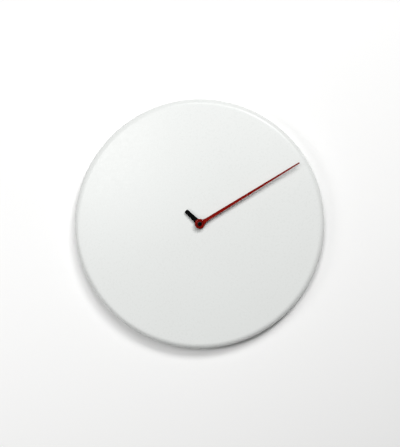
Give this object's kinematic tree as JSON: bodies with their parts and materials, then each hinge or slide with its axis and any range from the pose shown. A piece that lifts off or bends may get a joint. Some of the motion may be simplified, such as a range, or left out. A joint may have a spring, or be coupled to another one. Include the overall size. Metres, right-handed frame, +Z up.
{
  "type": "wall clock",
  "caption": "Round white steel wall clock with a short black hour hand, a long dark red minute hand, a hanging bracket and a working quartz movement.",
  "frame": {"origin": "where the hands' axis meets the wall plane, at the middle of the pan's rear rim", "axes": "+Z up, the dial faces -Y, +Y into the wall, +X to the right as seen from the front"},
  "size_m": [0.3, 0.0294, 0.3],
  "materials": {
    "lacquer_white": "satin white lacquer on sheet steel",
    "rubber_black": "matt",
    "zinc_steel": "zinc plated",
    "abs_black": "fine spark texture",
    "abs_grey": "moulded",
    "pom_natural": "moulded acetal",
    "brass": "turned",
    "black_metal": "black oxide",
    "paint_black": "satin black on aluminium",
    "paint_red": "satin dark red on aluminium",
    "steel": "bright",
    "magnet": "sintered",
    "bobbin_green": "moulded",
    "copper": "enamelled wire",
    "board_green": "solder resist",
    "epoxy_black": "potting drop",
    "contact_nickel": "nickel plated spring steel",
    "cell_steel": "nickel plated can",
    "cell_sleeve": "shrink sleeve"
  },
  "bodies": {
    "clock_body": {"dial_pan": "lacquer_white", "dial_gasket": "rubber_black", "hanger_bracket": "zinc_steel", "movement_case": "abs_black", "rear_cover": "abs_black", "middle_plate": "pom_natural", "threaded_bush": "brass", "bush_washer": "black_metal", "bush_nut": "black_metal", "motion_post": "steel", "stator_plate": "steel", "coil_core": "steel", "coil_bobbin": "bobbin_green", "coil_winding": "copper", "motor_screws": "steel", "circuit_board": "board_green", "chip": "epoxy_black", "crystal_can": "steel", "contact_positive": "contact_nickel", "contact_negative": "contact_nickel", "contact_spring": "contact_nickel"},
    "minute_works": {"minute_hand": "paint_red", "minute_collet": "zinc_steel", "cap_nut": "paint_black", "minute_arbor": "pom_natural", "clutch_spring": "brass", "clutch_collar": "pom_natural"},
    "hour_works": {"hour_hand": "paint_black", "hour_collet": "zinc_steel", "hour_wheel": "pom_natural"},
    "motion_works": {"motion_wheel": "pom_natural"},
    "setting_works": {"setting_knob": "abs_grey", "setting_shaft": "pom_natural"},
    "centre_works": {"centre_gear": "pom_natural"},
    "third_works": {"third_wheel": "pom_natural", "third_arbor": "steel"},
    "seconds_works": {"seconds_wheel": "pom_natural", "seconds_arbor": "steel"},
    "intermediate_works": {"intermediate_wheel": "pom_natural", "intermediate_arbor": "steel"},
    "rotor": {"rotor_pinion": "pom_natural", "rotor_magnet": "magnet"},
    "battery": {"battery_cell": "cell_steel", "battery_sleeve": "cell_sleeve"}
  },
  "joints": [
    {"name": "minute_spin", "type": "hinge", "parent": "clock_body", "child": "minute_works", "pos_m": [0, 0, 0], "axis": [0, 1, 0], "continuous": true},
    {"name": "hour_spin", "type": "hinge", "parent": "clock_body", "child": "hour_works", "pos_m": [0, 0, 0], "axis": [0, 1, 0], "continuous": true},
    {"name": "motion_spin", "type": "hinge", "parent": "clock_body", "child": "motion_works", "pos_m": [0.00783, 0, -0.00365], "axis": [0, 1, 0], "continuous": true},
    {"name": "setting_spin", "type": "hinge", "parent": "clock_body", "child": "setting_works", "pos_m": [0.01647, 0, -0.00365], "axis": [0, 1, 0], "continuous": true},
    {"name": "seconds_spin", "type": "hinge", "parent": "clock_body", "child": "seconds_works", "pos_m": [0, 0, 0], "axis": [0, 1, 0], "continuous": true},
    {"name": "intermediate_spin", "type": "hinge", "parent": "clock_body", "child": "intermediate_works", "pos_m": [0.00934, 0, 0.0034], "axis": [0, 1, 0], "continuous": true},
    {"name": "rotor_spin", "type": "hinge", "parent": "clock_body", "child": "rotor", "pos_m": [0.01234, 0, 0.0086], "axis": [0, 1, 0], "continuous": true},
    {"name": "third_spin", "type": "hinge", "parent": "clock_body", "child": "third_works", "pos_m": [-0.0092, 0, 0.00335], "axis": [0, 1, 0], "continuous": true},
    {"name": "centre_spin", "type": "hinge", "parent": "clock_body", "child": "centre_works", "pos_m": [0, 0, 0], "axis": [0, 1, 0], "continuous": true},
    {"name": "battery_slide", "type": "slide", "parent": "clock_body", "child": "battery", "axis": [0, 1, 0], "range_m": [0, 0.03]}
  ],
  "couplings": [
    {"joint": "hour_spin", "follows": "minute_spin", "ratio": 0.083333},
    {"joint": "motion_spin", "follows": "minute_spin", "ratio": -0.33333},
    {"joint": "setting_spin", "follows": "minute_spin", "ratio": 1},
    {"joint": "intermediate_spin", "follows": "seconds_spin", "ratio": -6},
    {"joint": "rotor_spin", "follows": "seconds_spin", "ratio": 30},
    {"joint": "third_spin", "follows": "seconds_spin", "ratio": -0.125},
    {"joint": "centre_spin", "follows": "seconds_spin", "ratio": 0.016667}
  ]
}
